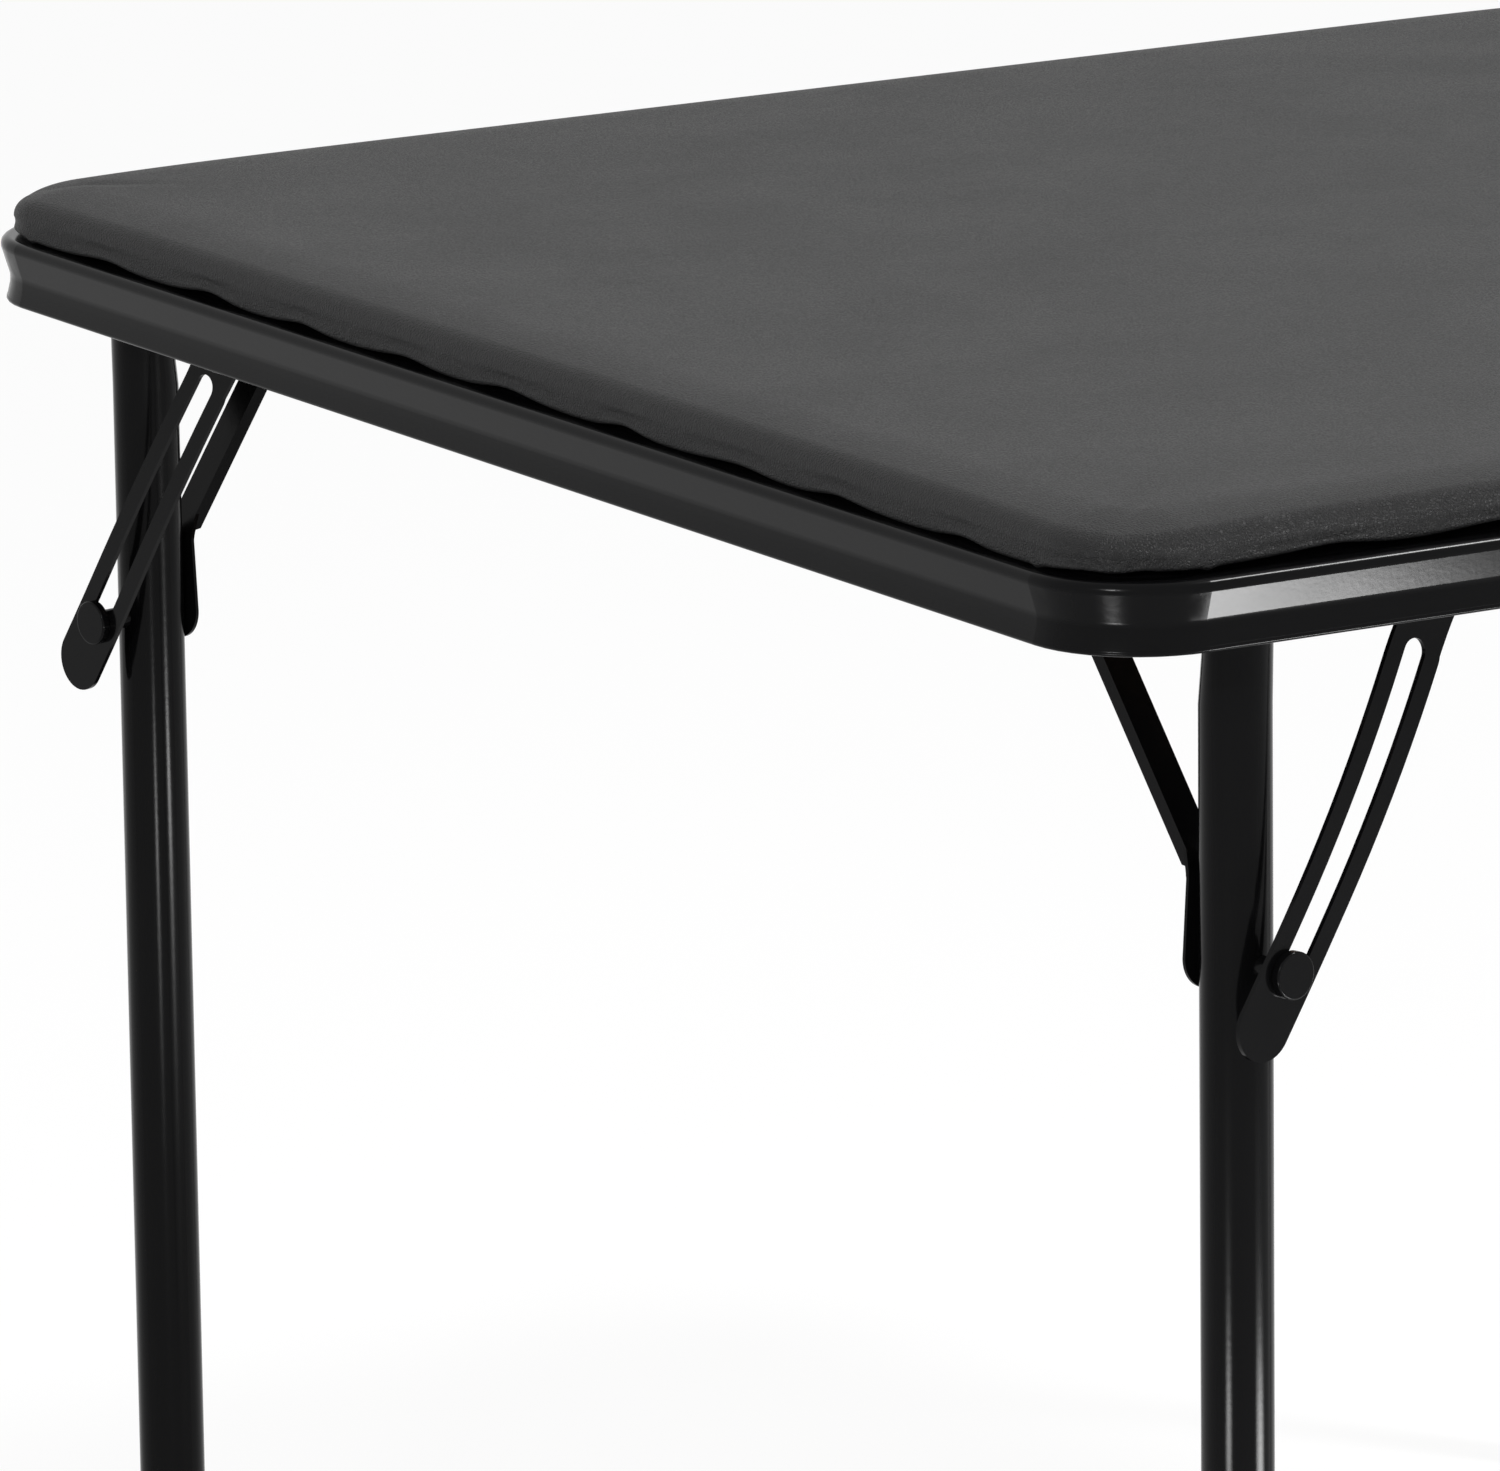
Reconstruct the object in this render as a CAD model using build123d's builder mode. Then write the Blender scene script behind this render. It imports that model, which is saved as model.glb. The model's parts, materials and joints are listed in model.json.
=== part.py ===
"""Square folding card table: padded top, roll-formed steel rim and four folding legs.

Frame: +Z up, origin on the floor under the middle of the top, sides along X and Y.
Each leg folds along its own side of the table, turned a little inward, in a pinwheel.
Everything at a corner is drawn once, at the corner (-X, -Y), and turned about Z for the others.
At a corner, s runs along the fold, t inward across it, and z up, from the leg's own axis.
"""

import math
import os

from build123d import *

os.makedirs("parts", exist_ok=True)

# Overall sizes
table_side = 914.0
table_height = 711.0
corner_radius = 50.0
leg_count = 4
quarter_turn = 360 / leg_count

# Rim, a thin rolled channel: rolled lip, waist, sloping face, bead, flat top, raised seat
rim_height = 28.8
rim_wall = 1.2
upper_bead_radius = 3.8
upper_bead_wrap = 16.7
waist_inset = 3.75
waist_height = 10.9
lip_radius = 1.5
lip_inset = 1.9
lip_wrap = 50.0
rim_flat_width = 8.4
seat_rise = 2.7
seat_ramp = 2.7
seat_width = 12.5

# Padded top
cover_height = 19.5
cover_inset = 7.0
cover_thickness = 0.9
cover_tuck = 4.5
cover_widest = 7.5
cover_roll_radius = 9.5
crown_slope = 12.0
hem_width = 7.5
pad_clearance = 0.3
board_thickness = 4.0
board_gap = 0.6

# Screws that hold the board to the rim's seat
screw_radius = 1.6
screw_head_radius = 4.0
screw_head_height = 2.2
screw_bite = 3.2
screw_clearance = 30.0
screw_fit = 0.2

# Legs
leg_side_offset = 88.5
leg_rail_offset = 42.5
fold_lean = 9.2
leg_radius = 14.3
leg_wall = 1.2
leg_flat_depth = 3.6
leg_flat_start = 32.0
leg_flat_end = 4.0
hinge_height = 11.0
leg_top_height = 18.0

# Foot caps
cap_wall = 1.6
cap_floor = 5.0
cap_height = 28.0
cap_edge = 3.0
cap_fit = 0.05

# Hinge rod and its clip
rod_radius = 4.0
rod_fit = 0.06
rod_head_radius = 6.5
rod_head_height = 1.7
rod_tail = 3.2
clip_radius = 7.0
clip_thickness = 1.2
running_gap = 0.3

# Corner bracket, a plate under the rim's seat with three ears
bracket_thickness = 2.0
ear_radius = 11.0
ear_gap = 0.5
plate_edge_gap = 1.0
plate_front_reach = 134.0
plate_side_reach = 66.0
plate_margin = 4.0
plate_waist = 24.0

# Inner strut, a bent strip with stiffening flanges
strut_width = 14.0
strut_thickness = 1.5
strut_lean = 34.5
strut_flat_top = 32.5
strut_tail_radius = 13.4
strut_neck_width = 22.4
strut_neck_taper = 9.0
strut_top_bend = 5.0
strut_bend_radius = 5.0
strut_flange_depth = 4.4
strut_flange_start = 2.0
strut_flange_margin = 12.0

# Cross pin through the leg and the strut's foot
pin_drop = 133.0
pin_radius = 3.2
pin_fit = 0.05
pin_head_radius = 6.0
pin_head_height = 2.2
pin_stand = 0.3

# Slotted brace, in the plane of the fold at its foot and bowed inward to its top
brace_face = 30.0
brace_thickness = 2.0
brace_width = 26.6
brace_overhang = 23.0
brace_bow = 7.5
bow_low = 22.0
bow_high = 4.0
slot_width = 11.0
slot_run = 72.0
slot_top_drop = 19.5
slot_bend_radius = 2200.0
brace_pivot_run = 80.0
brace_head_radius = 15.4
flare_drop = 6.5
flare_reach = 15.3
flare_root_back = 24.0
flare_root_depth = 1.2
flare_left_run = 8.5

# Brace's pivot rivet
rivet_radius = 4.0
rivet_head_radius = 7.5
rivet_head_height = 2.0
rivet_tail_radius = 6.5
rivet_tail_height = 1.6

# Headed stud that rides in the brace's slot
stud_radius = 4.7
stud_head_radius = 9.5
stud_head_height = 3.5
stud_head_edge = 0.8
stud_end_gap = 0.3

# Small rounds and a cutting overrun
edge_round = 0.6
overrun = 5.0

# Heights that follow
seat_height = rim_height + seat_rise
rim_bottom = table_height - seat_height - cover_height
seat_top = rim_bottom + seat_height
seat_under = seat_top - rim_wall
hinge_z = rim_bottom + hinge_height
pin_z = rim_bottom - pin_drop
half_side = table_side / 2

# The corner's own frame, from the leg's axis at the floor
corner = Plane(
    origin=(leg_side_offset - half_side, leg_rail_offset - half_side, 0),
    x_dir=(math.cos(math.radians(fold_lean)), math.sin(math.radians(fold_lean)), 0),
    z_dir=(0, 0, 1),
)


def fold_plane(t):
    """Plane of the fold at a distance t inward: x is s, y is z, and it faces outward."""
    return Plane(origin=corner.from_local_coords((0, t, 0)), x_dir=corner.x_dir, z_dir=-corner.y_dir)


def cross_plane(s):
    """Plane across the fold at s: x is t, y is z, and it faces along the fold."""
    return Plane(origin=corner.from_local_coords((s, 0, 0)), x_dir=corner.y_dir, z_dir=corner.x_dir)


def save(part, name):
    """Labels a finished piece and writes it under its own name."""
    part.label = name
    export_step(part, f"parts/{name}.step")


def save_at_corners(part, name):
    """Writes a corner piece four times, turned clockwise from corner to corner."""
    for number in range(leg_count):
        turned = part.rotate(Axis.Z, -quarter_turn * number)
        save(turned, f"{name}_{number + 1}")


# Ear planes across the fold, from the outside inward
brace_back = brace_face - brace_thickness
ear_inside = leg_radius + ear_gap
ear_outside = ear_inside + bracket_thickness
brace_ear_outside = brace_back - brace_bow - running_gap
brace_ear_inside = brace_ear_outside - bracket_thickness

# Where the strut's strip runs, across the fold
strut_foot = leg_radius + strut_thickness / 2
strut_knee_z = pin_z + strut_flat_top
strut_top_z = rim_bottom - strut_top_bend
strut_lean_run = (strut_top_z - strut_knee_z) * math.tan(math.radians(strut_lean))
strut_top = strut_foot + strut_lean_run
inner_ear = strut_top + strut_thickness / 2 + running_gap

# The slot is a very flat arc from the stud's rest place up to its top end
slot_low = Vector(0, pin_z)
slot_high = Vector(slot_run, rim_bottom - slot_top_drop)
slot_chord = slot_high - slot_low
slot_half_angle = math.degrees(math.asin(slot_chord.length / 2 / slot_bend_radius))
slot_rise = slot_bend_radius * math.cos(math.radians(slot_half_angle))
slot_left = Vector(-slot_chord.Y, slot_chord.X).normalized()
slot_centre = (slot_low + slot_high) * 0.5 + slot_left * slot_rise
slot_start_angle = math.degrees(math.atan2(slot_low.Y - slot_centre.Y, slot_low.X - slot_centre.X))
overhang_angle = math.degrees(brace_overhang / slot_bend_radius)
slot_end_angle = slot_start_angle + 2 * slot_half_angle
brace_pivot = Vector(brace_pivot_run, hinge_z)


def rim_outline():
    """Centre line of the rim's wall: inset from the side face, and height over the rim's foot."""
    skin = rim_wall / 2
    bead = upper_bead_radius - skin
    wrap = math.radians(upper_bead_wrap)
    crest = (upper_bead_radius, rim_height - skin)
    outmost = (skin, rim_height - upper_bead_radius)
    face_top = (upper_bead_radius - bead * math.cos(wrap), outmost[1] - bead * math.sin(wrap))
    waist = (waist_inset + skin, waist_height)
    run = waist[0] - face_top[0]
    fall = face_top[1] - waist[1]
    bend = (fall * math.tan(wrap) - run) / (math.tan(wrap) - math.tan(wrap / 2))
    face_end = (waist[0] - bend * math.tan(wrap / 2), waist[1] + bend)
    lip_x = lip_inset + lip_radius
    roll = lip_radius - skin
    lip_angle = math.radians(lip_wrap)
    lip_top = (lip_x - roll * math.cos(lip_angle), lip_radius + roll * math.sin(lip_angle))
    flat_end = (upper_bead_radius + rim_flat_width, rim_height - skin)
    seat_start = (flat_end[0] + seat_ramp, seat_height - skin)
    seat_end = (seat_start[0] + seat_width, seat_height - skin)
    ThreePointArc((lip_x + roll, lip_radius), (lip_x, skin), lip_top)
    TangentArc(waist, lip_top, tangent=(0, -1))
    TangentArc(waist, face_end, tangent=(0, 1))
    Line(face_end, face_top)
    ThreePointArc(face_top, outmost, crest)
    Polyline(crest, flat_end, seat_start, seat_end)


# The side's section plane: x is the inset from the side face, y is the height over the rim's foot
side_plane = Plane(origin=(0, -half_side, rim_bottom), x_dir=(0, 1, 0), z_dir=(1, 0, 0))
corner_centre = half_side - corner_radius


def around_the_top(section):
    """A section of the side plane taken along the four sides and round the four corners."""
    with BuildPart() as ring:
        with BuildSketch(side_plane):
            add(section)
        extrude(amount=corner_centre, both=True)
        with BuildSketch(side_plane.offset(corner_centre)):
            add(section)
        revolve(axis=Axis((corner_centre, -corner_centre, 0), (0, 0, 1)), revolution_arc=quarter_turn)
        quarter = ring.part
        for number in range(1, leg_count):
            add(quarter.rotate(Axis.Z, quarter_turn * number))
    return ring.part


# The screws stand clear of the corner brackets' ends
plate_arm = brace_pivot_run + ear_radius + plate_margin
screw_spread = half_side - leg_side_offset - plate_arm - screw_clearance


def screw_posts(radius, low, high, mode=Mode.ADD):
    """Upright cylinders at the board screws, two on each side, between two heights."""
    for number in range(leg_count):
        turned = Plane.XY.rotated((0, 0, quarter_turn * number))
        with BuildSketch(turned.offset(low)) as rounds:
            with Locations((-screw_spread, -screw_line), (screw_spread, -screw_line)):
                Circle(radius)
        extrude(rounds.sketch, amount=high - low, mode=mode)


# Rim: a rolled wall, with holes in its seat for the board's screws
seat_middle = upper_bead_radius + rim_flat_width + seat_ramp + seat_width / 2
screw_line = half_side - seat_middle
with BuildSketch() as rim_section:
    with BuildLine():
        rim_outline()
    trace(line_width=rim_wall)
with BuildPart() as rim_frame:
    add(around_the_top(rim_section.sketch))
    screw_posts(screw_radius + screw_fit, seat_under - overrun, seat_top + overrun, Mode.SUBTRACT)
save(rim_frame.part, "rim_frame")


def cushion(skin):
    """The padded top's crowned form, drawn in by a skin thickness all round."""
    foot = (cover_inset + cover_tuck + skin, seat_height + skin)
    widest = (cover_inset + skin, seat_height + cover_widest)
    steep = math.radians(quarter_turn - crown_slope)
    roll = cover_roll_radius - skin
    shoulder = (widest[0] + roll * (1 - math.cos(steep)), widest[1] + roll * math.sin(steep))
    crown_rise = cover_height - cover_widest - cover_roll_radius * math.sin(steep)
    crown_radius = crown_rise / (1 - math.cos(math.radians(crown_slope)))
    crown_run = (crown_radius - skin) * math.sin(math.radians(crown_slope))
    crown = (shoulder[0] + crown_run, seat_height + cover_height - skin)
    with BuildSketch() as section:
        with BuildLine():
            TangentArc(widest, foot, tangent=(0, -1))
            TangentArc(widest, shoulder, tangent=(0, 1))
            TangentArc(crown, shoulder, tangent=(-1, 0))
            Polyline(crown, (crown[0], foot[1]), foot)
        make_face()
    middle = 2 * (half_side - crown[0])
    with BuildPart() as form:
        add(around_the_top(section.sketch))
        with BuildSketch(Plane.XY.offset(rim_bottom + foot[1])):
            Rectangle(middle, middle)
        extrude(amount=crown[1] - foot[1])
    return form.part


def rounded_plate(inset, low, high, mode=Mode.ADD):
    """A flat plate with the top's plan outline, at an inset from the rim's side faces."""
    side = 2 * (half_side - inset)
    with BuildSketch(Plane.XY.offset(low)) as outline:
        RectangleRounded(side, side, corner_radius - inset)
    extrude(outline.sketch, amount=high - low, mode=mode)


# Vinyl cover: a skin over the pad, turned under the board as a hem
hem_inset = cover_inset + cover_tuck + hem_width
with BuildPart() as vinyl_cover:
    add(cushion(0))
    add(cushion(cover_thickness), mode=Mode.SUBTRACT)
    rounded_plate(hem_inset, seat_top - overrun, seat_top + cover_thickness, Mode.SUBTRACT)
save(vinyl_cover.part, "vinyl_cover")

# Board, resting on the cover's hem, with the screws' holes in its underside
board_low = seat_top + cover_thickness
board_high = board_low + board_thickness
board_inset = cover_inset + cover_tuck + cover_thickness + board_gap
with BuildPart() as top_board:
    rounded_plate(board_inset, board_low, board_high)
    screw_posts(screw_radius, board_low - overrun, board_low + screw_bite, Mode.SUBTRACT)
save(top_board.part, "top_board")

# Foam, over the board, with the cover's crown
with BuildPart() as foam_pad:
    add(cushion(cover_thickness + pad_clearance))
    split(bisect_by=Plane.XY.offset(board_high), keep=Keep.TOP)
save(foam_pad.part, "foam_pad")

# Screws, up through the seat into the board
with BuildPart() as board_screws:
    screw_posts(screw_head_radius, seat_under - screw_head_height, seat_under)
    screw_posts(screw_radius, seat_under, board_low + screw_bite)
save(board_screws.part, "board_screws")

# Leg: a round tube whose top is flattened a little on its inner side
flat_low = rim_bottom - leg_flat_start
flat_high = rim_bottom - leg_flat_end
flat_shift = leg_flat_depth / 2
leg_bore = leg_radius - leg_wall
with BuildPart() as leg_tube:
    with BuildSketch(corner.offset(cap_floor)):
        Circle(leg_radius)
    extrude(amount=flat_low - cap_floor)
    with BuildSketch(corner.offset(flat_low)):
        Circle(leg_radius)
    with BuildSketch(corner.offset(flat_high)):
        with Locations((0, -flat_shift)):
            Ellipse(leg_radius, leg_radius - flat_shift)
    loft()
    with BuildSketch(corner.offset(flat_high)):
        with Locations((0, -flat_shift)):
            Ellipse(leg_radius, leg_radius - flat_shift)
    extrude(amount=leg_top_height + leg_flat_end)
    with BuildSketch(corner.offset(cap_floor)):
        Circle(leg_bore)
    extrude(amount=flat_low - cap_floor, mode=Mode.SUBTRACT)
    with BuildSketch(corner.offset(flat_low)):
        Circle(leg_bore)
    with BuildSketch(corner.offset(flat_high)):
        with Locations((0, -flat_shift)):
            Ellipse(leg_bore, leg_bore - flat_shift)
    loft(mode=Mode.SUBTRACT)
    with BuildSketch(corner.offset(flat_high)):
        with Locations((0, -flat_shift)):
            Ellipse(leg_bore, leg_bore - flat_shift)
    extrude(amount=leg_top_height + leg_flat_end, mode=Mode.SUBTRACT)
    with BuildSketch(fold_plane(0)):
        with Locations((0, hinge_z)):
            Circle(rod_radius + rod_fit)
        with Locations((0, pin_z)):
            Circle(pin_radius + pin_fit)
    extrude(amount=leg_radius + overrun, both=True, mode=Mode.SUBTRACT)
save_at_corners(leg_tube.part, "leg_tube")

# Foot cap, slipped over the leg's lower end
cap_bore = leg_radius + cap_fit
with BuildPart() as foot_cap:
    with BuildSketch(corner):
        Circle(cap_bore + cap_wall)
    extrude(amount=cap_height)
    fillet(foot_cap.edges().group_by(Axis.Z)[0], radius=cap_edge)
    fillet(foot_cap.edges().group_by(Axis.Z)[-1], radius=edge_round)
    with BuildSketch(corner.offset(cap_floor)):
        Circle(cap_bore)
    extrude(amount=cap_height, mode=Mode.SUBTRACT)
save_at_corners(foot_cap.part, "foot_cap")

# Inner strut: a bent strip from the leg's pin up to the hinge rod, with two stiffening flanges
lean = math.radians(strut_lean)
along = Vector(math.sin(lean), math.cos(lean))
away = Vector(math.cos(lean), -math.sin(lean))
knee = Vector(strut_foot, strut_knee_z)
bend = Vector(strut_top, strut_top_z)
flange_low = knee + along * strut_flange_start
flange_high = bend - along * strut_flange_margin
flange_out = away * (strut_thickness / 2 + strut_flange_depth)
flange_ramp = along * strut_flange_depth
strut_head_z = hinge_z + strut_width / 2
strut_reach = strut_top + overrun
with BuildPart() as inner_strut:
    with BuildSketch(cross_plane(0)):
        with BuildLine():
            FilletPolyline(
                (strut_foot, pin_z - strut_tail_radius),
                knee,
                bend,
                (strut_top, strut_head_z),
                radius=strut_bend_radius,
            )
        trace(line_width=strut_thickness)
    extrude(amount=strut_tail_radius, both=True)
    with BuildSketch(fold_plane(strut_reach)):
        with Locations((0, pin_z)):
            Circle(strut_tail_radius)
        with BuildLine():
            Polyline(
                (-strut_tail_radius, pin_z),
                (-strut_neck_width / 2, strut_knee_z),
                (-strut_width / 2, strut_knee_z + strut_neck_taper),
                (-strut_width / 2, hinge_z),
                (strut_width / 2, hinge_z),
                (strut_width / 2, strut_knee_z + strut_neck_taper),
                (strut_neck_width / 2, strut_knee_z),
                (strut_tail_radius, pin_z),
                close=True,
            )
        make_face()
        with Locations((0, hinge_z)):
            Circle(strut_width / 2)
    extrude(amount=strut_reach, mode=Mode.INTERSECT)
    for side in (-strut_width / 2, strut_width / 2 - strut_thickness):
        with BuildSketch(cross_plane(side)):
            with BuildLine():
                Polyline(
                    flange_low,
                    flange_high,
                    flange_high - flange_ramp + flange_out,
                    flange_low + flange_ramp + flange_out,
                    close=True,
                )
            make_face()
        extrude(amount=strut_thickness)
    with BuildSketch(fold_plane(0)):
        with Locations((0, pin_z)):
            Circle(pin_radius + pin_fit)
        with Locations((0, hinge_z)):
            Circle(rod_radius + rod_fit)
    extrude(amount=-strut_reach, mode=Mode.SUBTRACT)
save_at_corners(inner_strut.part, "inner_strut")

# Cross pin: through the leg and the strut's foot, headed on the inside
pin_inside = leg_radius + strut_thickness
with BuildPart() as leg_pin:
    with BuildSketch(fold_plane(pin_inside)):
        with Locations((0, pin_z)):
            Circle(pin_radius)
    extrude(amount=pin_inside + leg_radius + pin_stand)
    with BuildSketch(fold_plane(pin_inside + pin_head_height)):
        with Locations((0, pin_z)):
            Circle(pin_head_radius)
    extrude(amount=pin_head_height)
    fillet(leg_pin.edges().group_by(Axis((0, 0, 0), corner.y_dir))[-1], radius=edge_round)
save_at_corners(leg_pin.part, "leg_pin")

# Hinge rod: through the outer ear, the leg's top, the strut and the inner ear
rod_end = inner_ear + bracket_thickness + rod_tail
with BuildPart() as pivot_rod:
    with BuildSketch(fold_plane(rod_end)):
        with Locations((0, hinge_z)):
            Circle(rod_radius)
    extrude(amount=rod_end + ear_outside)
    with BuildSketch(fold_plane(-ear_outside)):
        with Locations((0, hinge_z)):
            Circle(rod_head_radius)
    extrude(amount=rod_head_height)
    fillet(pivot_rod.edges().group_by(Axis((0, 0, 0), corner.y_dir))[0], radius=edge_round)
save_at_corners(pivot_rod.part, "pivot_rod")

# Push nut on the rod's inner end
with BuildPart() as rod_clip:
    with BuildSketch(fold_plane(inner_ear + bracket_thickness + clip_thickness)):
        with Locations((0, hinge_z)):
            Circle(clip_radius)
            Circle(rod_radius + rod_fit, mode=Mode.SUBTRACT)
    extrude(amount=clip_thickness)
save_at_corners(rod_clip.part, "rod_clip")


def flat_point(s, t):
    """A point of the corner's own frame, in plan."""
    point = corner.from_local_coords((s, t, 0))
    return (point.X, point.Y)


def inset_point(x, y):
    """A point of the plan, from its insets from the two side faces at the corner."""
    return (x - half_side, y - half_side)


# Corner bracket: a plate under the rim's seat, with ears for the rod and for the brace
plate_low = seat_under - bracket_thickness
plate_inset = upper_bead_radius + rim_flat_width + seat_ramp + plate_edge_gap
plate_half = ear_radius + plate_margin
plate_inner = inner_ear + bracket_thickness + plate_margin
with BuildPart() as corner_bracket:
    with BuildSketch(Plane.XY.offset(plate_low)):
        with BuildLine():
            Polyline(
                inset_point(corner_radius, plate_inset),
                inset_point(plate_front_reach, plate_inset),
                flat_point(brace_pivot_run - plate_half, -brace_ear_outside),
                flat_point(plate_arm, -brace_ear_outside),
                flat_point(plate_arm, -ear_inside + plate_margin),
                flat_point(plate_waist, plate_waist),
                flat_point(plate_half, plate_inner),
                flat_point(-plate_half, plate_inner),
                flat_point(-plate_waist, plate_waist),
                inset_point(plate_inset, plate_side_reach),
                inset_point(plate_inset, corner_radius),
                close=True,
            )
        make_face()
    extrude(amount=bracket_thickness)
    for s, t in ((0, -ear_inside), (0, inner_ear + bracket_thickness), (brace_pivot_run, -brace_ear_inside)):
        with BuildSketch(fold_plane(t)):
            with Locations((s, hinge_z)):
                Circle(ear_radius)
            with Locations((s, (hinge_z + plate_low) / 2)):
                Rectangle(2 * ear_radius, plate_low - hinge_z)
        extrude(amount=bracket_thickness)
    with BuildSketch(fold_plane(rod_end)):
        with Locations((0, hinge_z)):
            Circle(rod_radius + rod_fit)
    extrude(amount=rod_end + ear_outside + overrun, mode=Mode.SUBTRACT)
    with BuildSketch(fold_plane(0)):
        with Locations((brace_pivot_run, hinge_z)):
            Circle(rivet_radius + rod_fit)
    extrude(amount=brace_ear_outside + overrun, mode=Mode.SUBTRACT)
save_at_corners(corner_bracket.part, "corner_bracket")

# Where the brace's sheet bows, seen across the fold
bow_start_z = pin_z + bow_low
bow_end_z = rim_bottom - bow_high
bow_share = (slot_high.Y - bow_start_z) / (bow_end_z - bow_start_z)

# Slotted brace: a bowed sheet cut to a long, flared outline
brace_sheet = brace_back + brace_thickness / 2
brace_foot = pin_z - brace_overhang - brace_width
brace_crown = hinge_z + brace_head_radius + overrun
slot_sweep = 2 * slot_half_angle
bow_middle = (brace_bow * bow_share - brace_sheet, slot_high.Y)
flare_root_angle = math.radians(slot_end_angle - math.degrees(flare_root_back / slot_bend_radius))
flare_root_radius = slot_bend_radius + brace_width / 2 - flare_root_depth
flare_root = slot_centre + Vector(math.cos(flare_root_angle), math.sin(flare_root_angle)) * flare_root_radius
slot_end = math.radians(slot_end_angle)
flare_side = slot_centre + Vector(math.cos(slot_end), math.sin(slot_end)) * (slot_bend_radius - brace_width / 2)
flare_shoulder = flare_side + Vector(-math.sin(slot_end), math.cos(slot_end)) * flare_left_run
with BuildPart() as slotted_brace:
    with BuildSketch(cross_plane(0)):
        with BuildLine():
            Line((-brace_sheet, brace_foot), (-brace_sheet, bow_start_z))
            TangentArc((-brace_sheet, bow_start_z), bow_middle, tangent=(0, 1))
            TangentArc((brace_bow - brace_sheet, bow_end_z), bow_middle, tangent=(0, -1))
            Line((brace_bow - brace_sheet, bow_end_z), (brace_bow - brace_sheet, brace_crown))
        trace(line_width=brace_thickness)
    extrude(amount=brace_pivot_run + brace_width, both=True)
    with BuildSketch(fold_plane(0)):
        with BuildLine(mode=Mode.PRIVATE) as band:
            CenterArc(slot_centre, slot_bend_radius, slot_start_angle - overhang_angle, slot_sweep + overhang_angle)
        SlotArc(band.edge(), brace_width)
        with Locations((brace_pivot.X, brace_pivot.Y)):
            Circle(brace_head_radius)
        with BuildLine():
            Polyline(
                flare_side,
                flare_shoulder,
                (brace_pivot_run - brace_head_radius, hinge_z),
                (brace_pivot_run + brace_head_radius, hinge_z),
                (brace_pivot_run + flare_reach, rim_bottom - flare_drop),
                flare_root,
                close=True,
            )
        make_face()
    extrude(amount=brace_face + overrun, mode=Mode.INTERSECT)
    with BuildSketch(fold_plane(0)):
        with BuildLine(mode=Mode.PRIVATE) as slot:
            CenterArc(slot_centre, slot_bend_radius, slot_start_angle, slot_sweep)
        SlotArc(slot.edge(), slot_width)
        with Locations((brace_pivot.X, brace_pivot.Y)):
            Circle(rivet_radius + rod_fit)
    extrude(amount=brace_face + overrun, mode=Mode.SUBTRACT)
save_at_corners(slotted_brace.part, "slotted_brace")

# Brace's rivet: fixed in its ear, with the brace turning on it
rivet_tail = brace_ear_inside - rivet_tail_height
rivet_grip = brace_face - brace_bow + running_gap
with BuildPart() as brace_rivet:
    with BuildSketch(fold_plane(-rivet_tail)):
        with Locations((brace_pivot_run, hinge_z)):
            Circle(rivet_tail_radius)
    extrude(amount=rivet_tail_height)
    with BuildSketch(fold_plane(-rivet_tail)):
        with Locations((brace_pivot_run, hinge_z)):
            Circle(rivet_radius)
    extrude(amount=rivet_grip - rivet_tail)
    with BuildSketch(fold_plane(-rivet_grip)):
        with Locations((brace_pivot_run, hinge_z)):
            Circle(rivet_head_radius)
    extrude(amount=rivet_head_height)
    fillet(brace_rivet.edges().group_by(Axis((0, 0, 0), corner.y_dir))[0], radius=edge_round)
save_at_corners(brace_rivet.part, "brace_rivet")

# Headed stud, its shank stopping just short of the leg's pin
stud_inside = leg_radius + pin_stand + stud_end_gap
stud_grip = brace_face + running_gap
with BuildPart() as brace_stud:
    with BuildSketch(fold_plane(-stud_inside)):
        with Locations((0, pin_z)):
            Circle(stud_radius)
    extrude(amount=stud_grip - stud_inside)
    with BuildSketch(fold_plane(-stud_grip)):
        with Locations((0, pin_z)):
            Circle(stud_head_radius)
    extrude(amount=stud_head_height)
    fillet(brace_stud.edges().group_by(Axis((0, 0, 0), corner.y_dir))[0], radius=stud_head_edge)
save_at_corners(brace_stud.part, "brace_stud")
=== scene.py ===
import json
import math

import bpy
import numpy as np
from mathutils import Matrix, Vector


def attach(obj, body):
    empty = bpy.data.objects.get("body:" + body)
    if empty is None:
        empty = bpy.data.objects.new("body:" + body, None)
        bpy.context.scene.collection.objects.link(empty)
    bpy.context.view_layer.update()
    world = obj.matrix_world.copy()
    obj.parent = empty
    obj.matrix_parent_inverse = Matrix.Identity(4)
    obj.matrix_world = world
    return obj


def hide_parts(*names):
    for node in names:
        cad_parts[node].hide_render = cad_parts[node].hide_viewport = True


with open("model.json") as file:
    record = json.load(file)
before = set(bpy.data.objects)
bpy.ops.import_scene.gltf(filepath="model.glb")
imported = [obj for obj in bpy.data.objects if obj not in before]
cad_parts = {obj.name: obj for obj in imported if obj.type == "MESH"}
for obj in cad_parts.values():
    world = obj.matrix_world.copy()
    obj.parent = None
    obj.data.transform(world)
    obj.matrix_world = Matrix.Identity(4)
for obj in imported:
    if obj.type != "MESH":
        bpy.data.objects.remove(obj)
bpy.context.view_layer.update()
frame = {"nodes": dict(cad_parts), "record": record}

NODES = frame["nodes"]

# Sizes of the solids that the pieces here follow, in metres
SIDE = 0.914
HALF = SIDE / 2
CORNER = 0.050
RIM_BOTTOM = 0.660
RIM_FLAT = RIM_BOTTOM + 0.0288
SEAT = RIM_BOTTOM + 0.0315
TOP = 0.711
SEAT_EDGE = 0.0149
COVER_INSET = 0.0070
COVER_WIDEST = 0.0075
ROLL = 0.0095
CROWN_SLOPE = math.radians(12)

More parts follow.
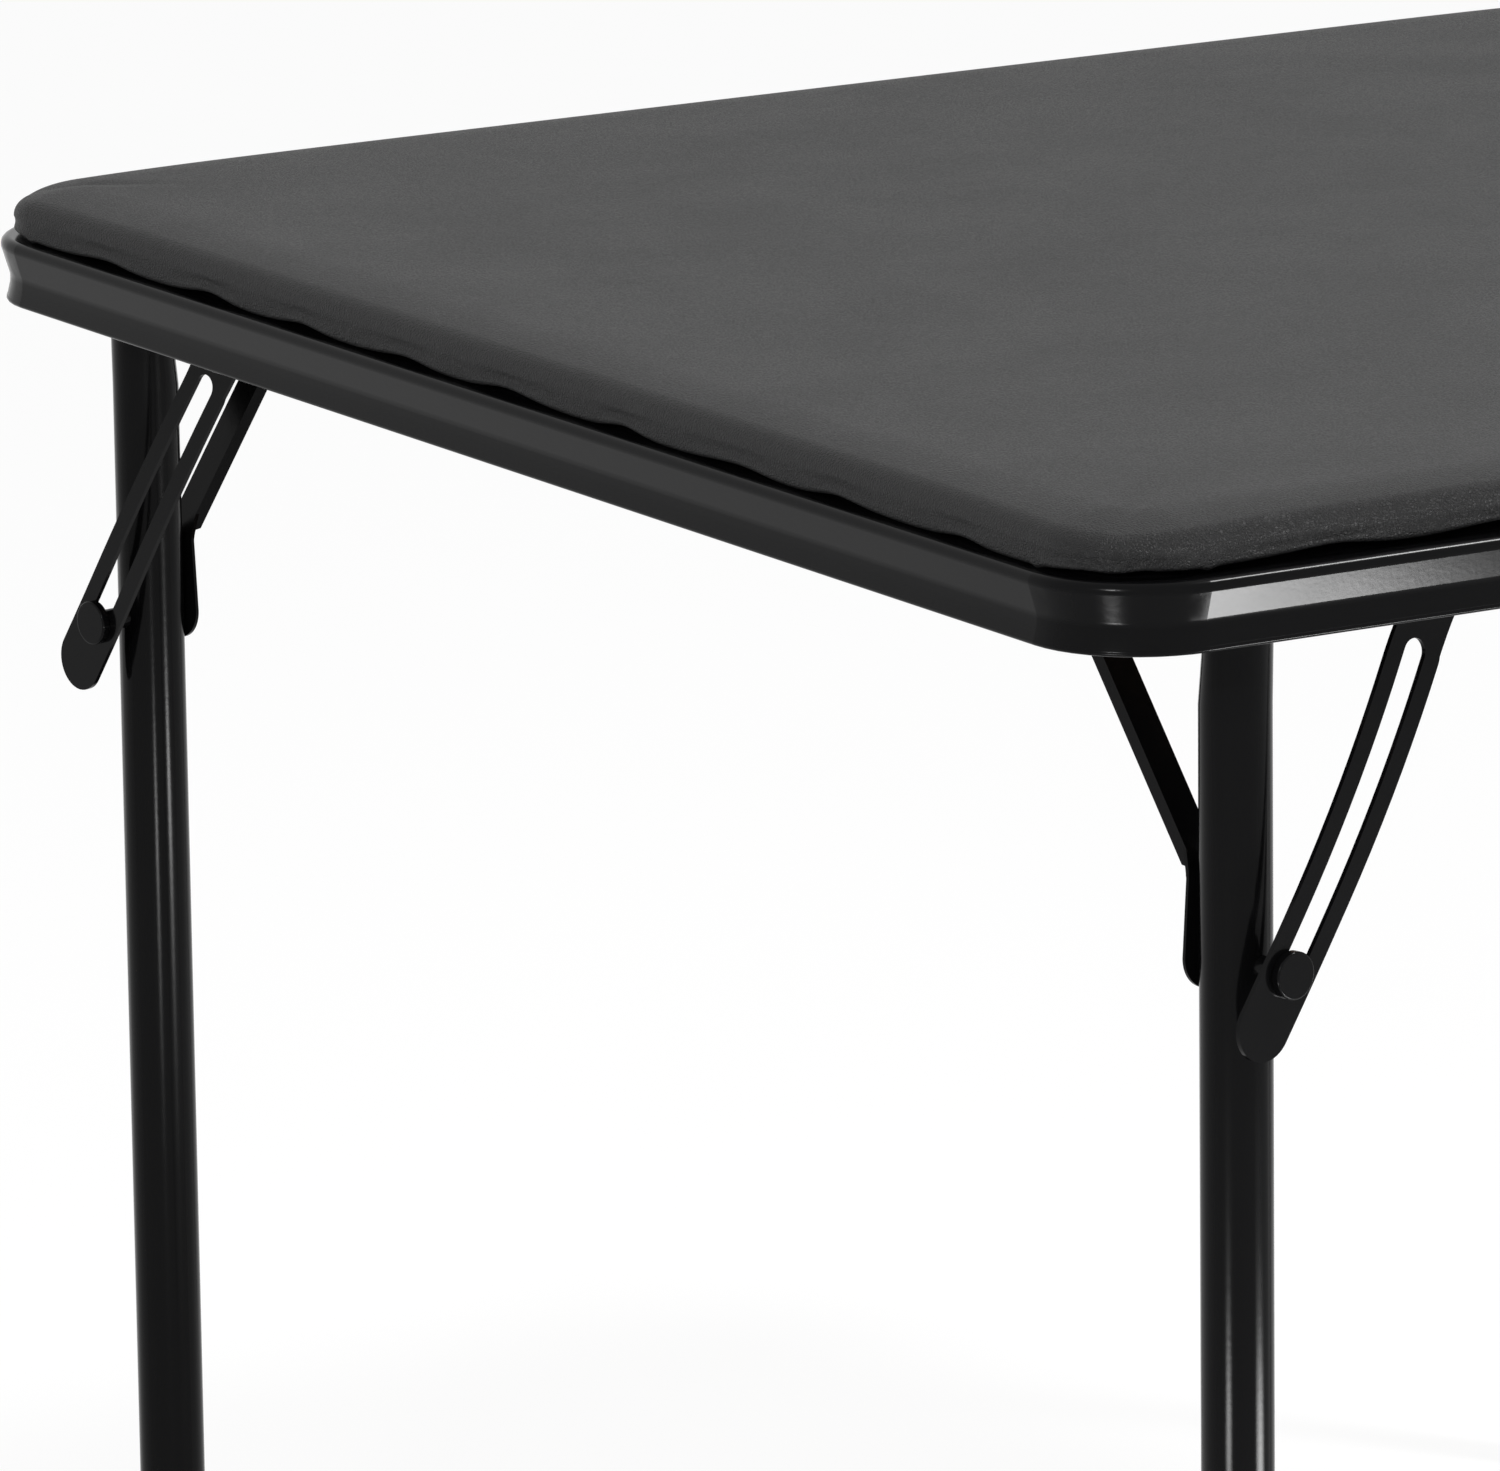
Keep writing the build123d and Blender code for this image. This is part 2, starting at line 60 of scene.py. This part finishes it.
# The padded top's own sizes: its lip, its waves, its corners
LIP_RADIUS = 0.0021
LIP_LOW = 0.0298
LEFT_LIP_LOW = 0.0292
FRONT_LIP_LOW = 0.0312
LEFT_INSET = 0.0058
LIP_WAVE = 0.0023
LIP_PITCH = 0.0864
LEFT_CREST = -0.0087
FRONT_CREST = -0.350
PINCH_DEPTH = 0.0011
CORNER_SINK = 0.0052
CORNER_SINK_REACH = 0.042
SINK_FADE = 0.080
FOOT_INSET = 0.0185
FOAM_SKIN = 0.0020
BOARD_FACE = 0.0049
DEEP_CORNER = 0.012
CORNER_LIFT = 0.0007
PINCH_SHIFT = 0.004
PINCH_REACH = 0.0028
FOOT_LIFT = 0.0002
HEEL_LIFT = 0.00025
HEEL_BACK = 0.0006
BEND_BACK = 0.0042
BEND_LIFT = 0.0006
FLAT_CLEARANCE = 0.0012
SIDE_TUCK = 0.0008

# How finely the padded top is divided
FLAT_COLUMNS = 400
CORNER_COLUMNS = 36
LIP_STEPS = 12
SIDE_STEPS = 6
ROLL_STEPS = 14
CROWN_STEPS = 16
FLAT_STEPS = 40

# The flat top's unevenness: a few long waves that fade out before the edge
UNEVEN_WAVES = 9
UNEVEN_HEIGHT = 0.00009
UNEVEN_EDGE = 0.05
UNEVEN_FADE = 0.06


# Materials

# The vinyl's grain: cells a metre, their depth, and how far and how finely their edges wander
GRAIN_SCALE = 760
GRAIN_DEPTH = 0.00035
WOBBLE_REACH = 0.0016
WOBBLE_SCALE = 260
FOLD_DEPTH = 0.0002


def new_material(name, color, rough, **inputs):
    """A Principled material with its uniform values set on the shader itself."""
    mat = bpy.data.materials.new(name)
    mat.use_nodes = True
    shader = mat.node_tree.nodes["Principled BSDF"]
    shader.inputs["Base Color"].default_value = (*color, 1)
    shader.inputs["Roughness"].default_value = rough
    for key, value in inputs.items():
        shader.inputs[key.replace("_", " ")].default_value = value
    return mat, shader


def node(mat, kind, **settings):
    """Adds a node and sets its options and inputs by name."""
    made = mat.node_tree.nodes.new(kind)
    for key, value in settings.items():
        if hasattr(made, key):
            setattr(made, key, value)
        else:
            made.inputs[key.replace("_", " ")].default_value = value
    return made


def link(mat, a, out, b, inp):
    """Links an output of one node to an input of another."""
    mat.node_tree.links.new(a.outputs[out], b.inputs[inp])


def noise(mat, scale, detail=2.0, rough=0.5, stretch=(1, 1, 1)):
    """Noise over the object's own coordinates, its scale in cycles a metre."""
    coords = node(mat, "ShaderNodeTexCoord")
    place = node(mat, "ShaderNodeMapping", Scale=stretch)
    link(mat, coords, "Object", place, "Vector")
    made = node(mat, "ShaderNodeTexNoise", Scale=scale, Detail=detail, Roughness=rough)
    link(mat, place, "Vector", made, "Vector")
    return made


def mapped(mat, source, out, low, high, at_low, at_high):
    """The source's output between two values, mapped to two others."""
    made = node(mat, "ShaderNodeMapRange")
    for key, value in zip(("From Min", "From Max", "To Min", "To Max"), (low, high, at_low, at_high)):
        made.inputs[key].default_value = value
    link(mat, source, out, made, "Value")
    return made


def two_tone(mat, source, out, dark, light):
    """A colour between two, by the source's value from 0 to 1."""
    made = node(mat, "ShaderNodeMix", data_type="RGBA")
    made.inputs[6].default_value = (*dark, 1)
    made.inputs[7].default_value = (*light, 1)
    link(mat, source, out, made, 0)
    return made


def bump(mat, shader, source, out, distance, strength=1.0, below=None):
    """A bump of the source's height; distance is in metres."""
    made = node(mat, "ShaderNodeBump", Distance=distance, Strength=strength)
    link(mat, source, out, made, "Height")
    if below:
        link(mat, below, "Normal", made, "Normal")
    link(mat, made, "Normal", shader, "Normal")
    return made


def enamel():
    """Black baked enamel: a clear gloss with a faint orange peel, and slight dulling in patches."""
    color = (0.003, 0.003, 0.0032)
    mat, shader = new_material("black_enamel_look", color, 0.2, IOR=1.42, Specular_IOR_Level=0.1)
    patches = noise(mat, 9, 3, 0.6)
    dull = mapped(mat, patches, "Fac", 0.3, 0.7, 0.13, 0.19)
    link(mat, dull, "Result", shader, "Roughness")
    tone = two_tone(mat, patches, "Fac", (0.002, 0.002, 0.0022), (0.0035, 0.0035, 0.0038))
    link(mat, tone, 2, shader, "Base Color")
    peel = noise(mat, 420, 2, 0.5)
    bump(mat, shader, peel, "Fac", 0.00004, 0.5)
    return mat


def vinyl():
    """Black vinyl: a fine pebbled grain of cells and creases, with a soft sheen."""
    color = (0.02, 0.02, 0.021)
    mat, shader = new_material("black_vinyl_look", color, 0.5, IOR=1.45, Specular_IOR_Level=0.25)
    coords = node(mat, "ShaderNodeTexCoord")
    wobble = node(mat, "ShaderNodeTexNoise", Scale=WOBBLE_SCALE, Detail=2)
    link(mat, coords, "Object", wobble, "Vector")
    bend = node(mat, "ShaderNodeVectorMath", operation="MULTIPLY_ADD")
    bend.inputs[1].default_value = (WOBBLE_REACH, WOBBLE_REACH, WOBBLE_REACH)
    link(mat, wobble, "Color", bend, 0)
    link(mat, coords, "Object", bend, 2)
    cells = node(mat, "ShaderNodeTexVoronoi", feature="DISTANCE_TO_EDGE", Scale=GRAIN_SCALE)
    link(mat, bend, "Vector", cells, "Vector")
    grain = mapped(mat, cells, "Distance", 0.0, 0.35, 0.0, 1.0)
    patches = noise(mat, 14, 3, 0.55)
    tone = two_tone(mat, patches, "Fac", (0.0115, 0.0115, 0.0118), (0.0145, 0.0145, 0.0149))
    link(mat, tone, 2, shader, "Base Color")
    dull = mapped(mat, patches, "Fac", 0.3, 0.7, 0.5, 0.54)
    link(mat, dull, "Result", shader, "Roughness")
    folds = noise(mat, 60, 3, 0.5)
    low = bump(mat, shader, folds, "Fac", FOLD_DEPTH, 0.2)
    bump(mat, shader, grain, "Result", GRAIN_DEPTH, 1.0, low)
    return mat


def hardboard():
    """Brown hardboard, seen from below: a pressed mesh of fine fibres."""
    mat, shader = new_material("hardboard_look", (0.16, 0.09, 0.05), 0.6)
    fibres = noise(mat, 300, 4, 0.7, (1, 5, 1))
    tone = two_tone(mat, fibres, "Fac", (0.10, 0.055, 0.03), (0.2, 0.12, 0.07))
    link(mat, tone, 2, shader, "Base Color")
    bump(mat, shader, fibres, "Fac", 0.0002, 0.5)
    return mat


def zinc():
    """Zinc-plated steel, with fine turning marks."""
    mat, shader = new_material("zinc_steel_look", (0.5, 0.5, 0.52), 0.34, Metallic=1.0)
    marks = noise(mat, 500, 3, 0.6, (1, 1, 6))
    dull = mapped(mat, marks, "Fac", 0.3, 0.7, 0.26, 0.42)
    link(mat, dull, "Result", shader, "Roughness")
    bump(mat, shader, marks, "Fac", 0.00005, 0.5)
    return mat


def rubber():
    """Black moulded rubber, matt with a fine sparked texture."""
    mat, shader = new_material("black_rubber_look", (0.014, 0.014, 0.014), 0.62)
    spark = noise(mat, 900, 3, 0.6)
    dull = mapped(mat, spark, "Fac", 0.3, 0.7, 0.55, 0.7)
    link(mat, dull, "Result", shader, "Roughness")
    bump(mat, shader, spark, "Fac", 0.0001, 0.5)
    return mat


def foam():
    """Pale open-cell foam."""
    mat, shader = new_material("foam_look", (0.7, 0.68, 0.6), 0.9)
    cells = noise(mat, 900, 4, 0.7)
    tone = two_tone(mat, cells, "Fac", (0.5, 0.48, 0.4), (0.8, 0.78, 0.7))
    link(mat, tone, 2, shader, "Base Color")
    bump(mat, shader, cells, "Fac", 0.0004, 0.7)
    return mat


LOOKS = {
    "black_enamel": enamel(),
    "black_vinyl": vinyl(),
    "hardboard": hardboard(),
    "foam": foam(),
    "zinc_steel": zinc(),
    "black_rubber": rubber(),
}

for part in frame["record"]["subparts"]:
    for held in NODES[part["node"]].material_slots:
        held.material = LOOKS[part["material_slot"]]


# Padded top

def rounded_square(inset):
    """Columns round a rounded square at an inset from the side faces, and their outward normals."""
    half = HALF - inset
    radius = np.maximum(CORNER - inset, DEEP_CORNER)
    flat = half - radius
    rows = []
    for side in range(4):
        turn = side * math.pi / 2
        shares = np.linspace(0, 1, FLAT_COLUMNS, endpoint=False)
        rows.append((half, (2 * shares - 1) * flat, np.ones(FLAT_COLUMNS), np.zeros(FLAT_COLUMNS), turn))
        angles = np.linspace(0, math.pi / 2, CORNER_COLUMNS, endpoint=False)
        cos, sin = np.cos(angles), np.sin(angles)
        rows.append((flat + radius * cos, flat + radius * sin, cos, sin, turn))
    places, normals = [], []
    for x, y, nx, ny, turn in rows:
        cos, sin = math.cos(turn), math.sin(turn)
        x = x * np.ones(len(y))
        places.append(np.column_stack([x * cos - y * sin, x * sin + y * cos]))
        normals.append(np.column_stack([nx * cos - ny * sin, nx * sin + ny * cos]))
    return np.concatenate(places), np.concatenate(normals)


def smooth_noise(count, waves, seed):
    """A closed smooth random curve of values between about -1 and 1."""
    spread = np.random.default_rng(seed)
    phase = np.linspace(0, 2 * math.pi, count, endpoint=False)
    value = np.zeros(count)
    for k in range(1, waves):
        value += spread.normal() * np.cos(k * phase + spread.uniform(0, 2 * math.pi)) / math.sqrt(waves)
    return value


def lip_course():
    """The lower lip's height over the rim's foot and its inset, the corners' sink, and the lip's waves."""
    ring, normal = rounded_square(0.0)
    count = len(ring)
    x, y = ring[:, 0], ring[:, 1]
    left, front = normal[:, 0] < -0.9, normal[:, 1] < -0.9
    run = np.where(np.abs(normal[:, 0]) > 0.7, y, x)
    crest = np.where(left, LEFT_CREST, np.where(front, FRONT_CREST, 0.0))
    phase = 2 * math.pi * (run - crest) / LIP_PITCH + 0.5 * smooth_noise(count, 30, 7)
    wave = (0.5 + 0.5 * np.cos(phase + 0.35 * np.sin(phase))) * (1 + 0.25 * smooth_noise(count, 50, 5))
    weight = np.clip(np.max(np.abs(normal), 1) * 4 - 3, 0, 1)
    share_left = np.clip(-normal[:, 0], 0, 1) ** 2
    share_front = np.clip(-normal[:, 1], 0, 1) ** 2
    low = LIP_LOW + (FRONT_LIP_LOW - LIP_LOW) * share_front + (LEFT_LIP_LOW - LIP_LOW) * share_left
    wave = wave * weight
    height = low + LIP_WAVE * wave + CORNER_LIFT * (1 - weight)
    inset = COVER_INSET - (COVER_INSET - LEFT_INSET) * share_left
    end = np.abs(np.minimum(np.abs(x), np.abs(y)) - (HALF - CORNER - PINCH_SHIFT))
    pinch = np.exp(-(end / PINCH_REACH) ** 2)
    height -= PINCH_DEPTH * pinch
    diagonal = np.abs(np.abs(x) - np.abs(y)) / math.sqrt(2)
    sink = CORNER_SINK * np.exp(-(diagonal / CORNER_SINK_REACH) ** 1.3)
    return height, inset, sink, wave


def foam_rings():
    """The foam's rings, a skin's thickness inside the vinyl's, from the board up to the flat top."""
    low, inset, sink, _ = lip_course()
    count = len(low)
    foot = SEAT - RIM_BOTTOM + BOARD_FACE
    full = TOP - RIM_BOTTOM - FOAM_SKIN
    widest = SEAT - RIM_BOTTOM + COVER_WIDEST
    rings = [(inset + FOAM_SKIN, np.full(count, foot)), (inset + FOAM_SKIN, np.full(count, widest))]
    rings += rolled_rings(inset, FOAM_SKIN, widest, full)
    return sunk(rings, low, sink, full)


def rolled_rings(inset, skin, widest, full):
    """Rings of the roll, the crown and the flat middle, a skin's thickness inside the vinyl's."""
    count = len(inset)
    roll = ROLL - skin
    steep = math.pi / 2 - CROWN_SLOPE
    rings = []
    for step in range(1, ROLL_STEPS + 1):
        a = steep * step / ROLL_STEPS
        rings.append((inset + skin + roll * (1 - math.cos(a)), np.full(count, widest + roll * math.sin(a))))
    shoulder = inset + skin + roll * (1 - math.cos(steep))
    rise = full - widest - roll * math.sin(steep)
    radius = rise / (1 - math.cos(CROWN_SLOPE))
    for step in range(1, CROWN_STEPS + 1):
        a = CROWN_SLOPE * (1 - step / CROWN_STEPS)
        out = shoulder + radius * (math.sin(CROWN_SLOPE) - math.sin(a))
        rings.append((out, np.full(count, full - radius * (1 - math.cos(a)))))
    last = rings[-1][0]
    for step in range(1, FLAT_STEPS + 1):
        share = (step / FLAT_STEPS) ** 1.25
        rings.append((last + (HALF - DEEP_CORNER - last) * share, np.full(count, full)))
    return rings


def sunk(rings, low, sink, full):
    """The rings with their corners sunk a little, the more the nearer to the edge and the top."""
    placed = []
    for out, height in rings:
        fade = np.clip((SINK_FADE - out) / SINK_FADE, 0, 1) ** 1.5
        part = np.clip((height - low) / (full - low), 0, 1)
        placed.append((out, height - sink * fade * part))
    return placed


def cushion_rings():
    """The cushion's rings, from its foot under the board, round the lip and up to the flat top."""
    low, inset, sink, wave = lip_course()
    count = len(low)
    seat = SEAT - RIM_BOTTOM
    full = TOP - RIM_BOTTOM
    rings = [
        (np.full(count, FOOT_INSET), np.full(count, seat + FOOT_LIFT)),
        (np.full(count, SEAT_EDGE + HEEL_BACK), np.full(count, seat + HEEL_LIFT)),
    ]
    bend = inset + LIP_RADIUS + BEND_BACK
    rings.append((bend, np.maximum(0.5 * (low + seat) + BEND_LIFT, RIM_FLAT - RIM_BOTTOM + FLAT_CLEARANCE)))
    for step in range(1, LIP_STEPS + 1):
        a = math.radians(-40 - 140 * step / LIP_STEPS)
        rings.append((inset + LIP_RADIUS * (1 + math.cos(a)), low + LIP_RADIUS * (1 + math.sin(a))))
    start = low + LIP_RADIUS
    widest = seat + COVER_WIDEST
    for step in range(1, SIDE_STEPS + 1):
        share = step / SIDE_STEPS
        tuck = SIDE_TUCK * math.sin(math.pi * share) * (0.35 + wave)
        rings.append((inset + tuck, start + (widest - start) * share))
    rings += rolled_rings(inset, 0.0, widest, full)
    return sunk(rings, low, sink, full)


def ring_piece(name, rings, top, look):
    """A piece closed at its top, from rings of (inset, height over the rim's foot)."""
    verts = []
    for out, height in rings:
        middle_out = float(np.mean(out))
        place, normal = rounded_square(middle_out)
        place = place - normal * (out - middle_out)[:, None]
        verts.append(np.column_stack([place, height + RIM_BOTTOM]))
    count = len(verts[0])
    verts = np.concatenate(verts)
    faces = []
    for r in range(len(rings) - 1):
        a = r * count + np.arange(count)
        b = r * count + (np.arange(count) + 1) % count
        faces.append(np.column_stack([a, b, b + count, a + count]))
    faces = np.concatenate(faces)
    last = (len(rings) - 1) * count
    middle = len(verts)
    verts = np.concatenate([verts, [[0, 0, top]]])
    spread = np.random.default_rng(3)
    calm = np.clip((HALF - UNEVEN_EDGE - np.max(np.abs(verts[:, :2]), 1)) / UNEVEN_FADE, 0, 1)
    for _ in range(UNEVEN_WAVES):
        kx, ky = spread.normal(0, 9, 2)
        phase = spread.uniform(0, 6.28)
        verts[:, 2] += UNEVEN_HEIGHT * calm * np.cos(kx * verts[:, 0] + ky * verts[:, 1] + phase)
    cap = [(last + i, last + (i + 1) % count, middle) for i in range(count)]
    mesh = bpy.data.meshes.new(name)
    mesh.from_pydata(verts.tolist(), [], faces.tolist() + cap)
    mesh.polygons.foreach_set("use_smooth", [True] * len(mesh.polygons))
    mesh.update()
    made = bpy.data.objects.new(name, mesh)
    bpy.context.collection.objects.link(made)
    mesh.materials.append(LOOKS[look])
    return made


top = ring_piece("padded_top", cushion_rings(), TOP, "black_vinyl")
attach(top, "frame")
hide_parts("vinyl_cover")

foam_layer = ring_piece("foam_layer", foam_rings(), TOP - FOAM_SKIN, "foam")
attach(foam_layer, "frame")
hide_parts("foam_pad")


# Floor and light

FLOOR_REACH = 40.0
FLOOR_COLOR = (0.9, 0.9, 0.9, 1)
FLOOR_GLOW = 1.07
FLOOR_PLAIN_SHARE = 0.85
WORLD_SEEN = 1.0
WORLD_FILL = 0.35
LAMP_PEAK = 4.0

# Name, place, aim, size and power of each lamp
LAMPS = (
    ("overhead", (1.26, -1.0, 2.95), (-0.2, -0.45, 0.7), (0.8, 0.8), 60),
    ("low_front", (0.07, -0.95, 0.12), (-0.36, -0.457, 0.68), (0.5, 0.16), 5),
    ("corner_glint", (-2.2, -1.55, 1.6), (-0.43, -0.43, 0.67), (0.5, 0.2), 14),
    ("corner_low", (-1.02, -0.77, 0.12), (-0.44, -0.44, 0.675), (0.34, 0.14), 2.5),
    ("front_soft", (-3.4, -2.2, 2.6), (0, 0, 0.5), (1.6, 1.6), 30),
)


def stage_plane(name, size, mat):
    """A flat square on the ground that is no part of the table."""
    mesh = bpy.data.meshes.new(name)
    corners = [(-size, -size, 0), (size, -size, 0), (size, size, 0), (-size, size, 0)]
    mesh.from_pydata(corners, [], [(0, 1, 2, 3)])
    mesh.materials.append(mat)
    made = bpy.data.objects.new(name, mesh)
    bpy.context.collection.objects.link(made)
    return made


def floor_material():
    """White floor with the object's soft shadow kept in it, and clear from below."""
    mat = bpy.data.materials.new("floor_white")
    mat.use_nodes = True
    tree = mat.node_tree
    tree.nodes.clear()
    out = node(mat, "ShaderNodeOutputMaterial")
    shade = node(mat, "ShaderNodeBsdfDiffuse")
    shade.inputs["Color"].default_value = FLOOR_COLOR
    plain = node(mat, "ShaderNodeEmission", Strength=FLOOR_GLOW)
    path = node(mat, "ShaderNodeLightPath")
    seen = node(mat, "ShaderNodeMath", operation="MAXIMUM")
    link(mat, path, "Is Camera Ray", seen, 0)
    link(mat, path, "Is Glossy Ray", seen, 1)
    part = node(mat, "ShaderNodeMath", operation="MULTIPLY")
    part.inputs[1].default_value = FLOOR_PLAIN_SHARE
    link(mat, seen, "Value", part, 0)
    mix = node(mat, "ShaderNodeMixShader")
    link(mat, part, "Value", mix, "Fac")
    tree.links.new(shade.outputs["BSDF"], mix.inputs[1])
    tree.links.new(plain.outputs["Emission"], mix.inputs[2])
    facing = node(mat, "ShaderNodeNewGeometry")
    one_sided = node(mat, "ShaderNodeMixShader")
    link(mat, facing, "Backfacing", one_sided, "Fac")
    tree.links.new(mix.outputs["Shader"], one_sided.inputs[1])
    tree.links.new(node(mat, "ShaderNodeBsdfTransparent").outputs["BSDF"], one_sided.inputs[2])
    link(mat, one_sided, "Shader", out, "Surface")
    return mat


stage_plane("floor", FLOOR_REACH, floor_material())

world = bpy.data.worlds.new("studio")
bpy.context.scene.world = world
world.use_nodes = True
world.node_tree.nodes.clear()
world_out = node(world, "ShaderNodeOutputWorld")
back = node(world, "ShaderNodeBackground")
back.inputs["Color"].default_value = (1, 1, 1, 1)
rays = node(world, "ShaderNodeLightPath")
seen = node(world, "ShaderNodeMath", operation="MAXIMUM")
link(world, rays, "Is Camera Ray", seen, 0)
link(world, rays, "Is Glossy Ray", seen, 1)
seen_too = node(world, "ShaderNodeMath", operation="MAXIMUM")
link(world, seen, "Value", seen_too, 0)
link(world, rays, "Is Transmission Ray", seen_too, 1)
level = mapped(world, seen_too, "Value", 0.0, 1.0, WORLD_FILL, WORLD_SEEN)
link(world, level, "Result", back, "Strength")
link(world, back, "Background", world_out, "Surface")


def area_light(name, place, aim, size, power):
    """An area lamp that fades toward its edges, as a softbox does."""
    data = bpy.data.lights.new(name, "AREA")
    data.shape = "RECTANGLE"
    data.size, data.size_y = size
    data.energy = power
    data.use_nodes = True
    place_on = node(data, "ShaderNodeNewGeometry")
    from_middle = node(data, "ShaderNodeVectorMath", operation="DISTANCE")
    from_middle.inputs[1].default_value = (0.5, 0.5, 0)
    link(data, place_on, "Parametric", from_middle, 0)
    glow = mapped(data, from_middle, "Value", 0.5, 0.0, 0.0, LAMP_PEAK)
    glow.interpolation_type = "SMOOTHSTEP"
    link(data, glow, "Result", data.node_tree.nodes["Emission"], "Strength")
    made = bpy.data.objects.new(name, data)
    made.location = place
    made.visible_camera = False
    toward = np.array(aim) - np.array(place)
    made.rotation_euler = Vector(toward).to_track_quat("-Z", "Y").to_euler()
    bpy.context.collection.objects.link(made)
    return made


for lamp in LAMPS:
    area_light(*lamp)


# Camera

YAW = math.radians(31.24)
PITCH = math.radians(13.07)
CAMERA_ROLL = math.radians(-0.748)
SENSOR_WIDTH = 36.0
LENS_IN_WIDTHS = 11768 / 1500
CAMERA_PLACE = (-2.7921, -4.0534, RIM_BOTTOM + 0.972)

camera_data = bpy.data.cameras.new("camera")
camera_data.sensor_width = SENSOR_WIDTH
camera_data.lens = LENS_IN_WIDTHS * SENSOR_WIDTH
camera = bpy.data.objects.new("camera", camera_data)
camera.location = CAMERA_PLACE
look = Matrix.Rotation(-YAW, 3, "Z") @ Matrix.Rotation(math.pi / 2 - PITCH, 3, "X")
camera.rotation_euler = (look @ Matrix.Rotation(CAMERA_ROLL, 3, "Z")).to_euler()
bpy.context.collection.objects.link(camera)
bpy.context.scene.camera = camera
bpy.context.scene.view_settings.view_transform = "Standard"
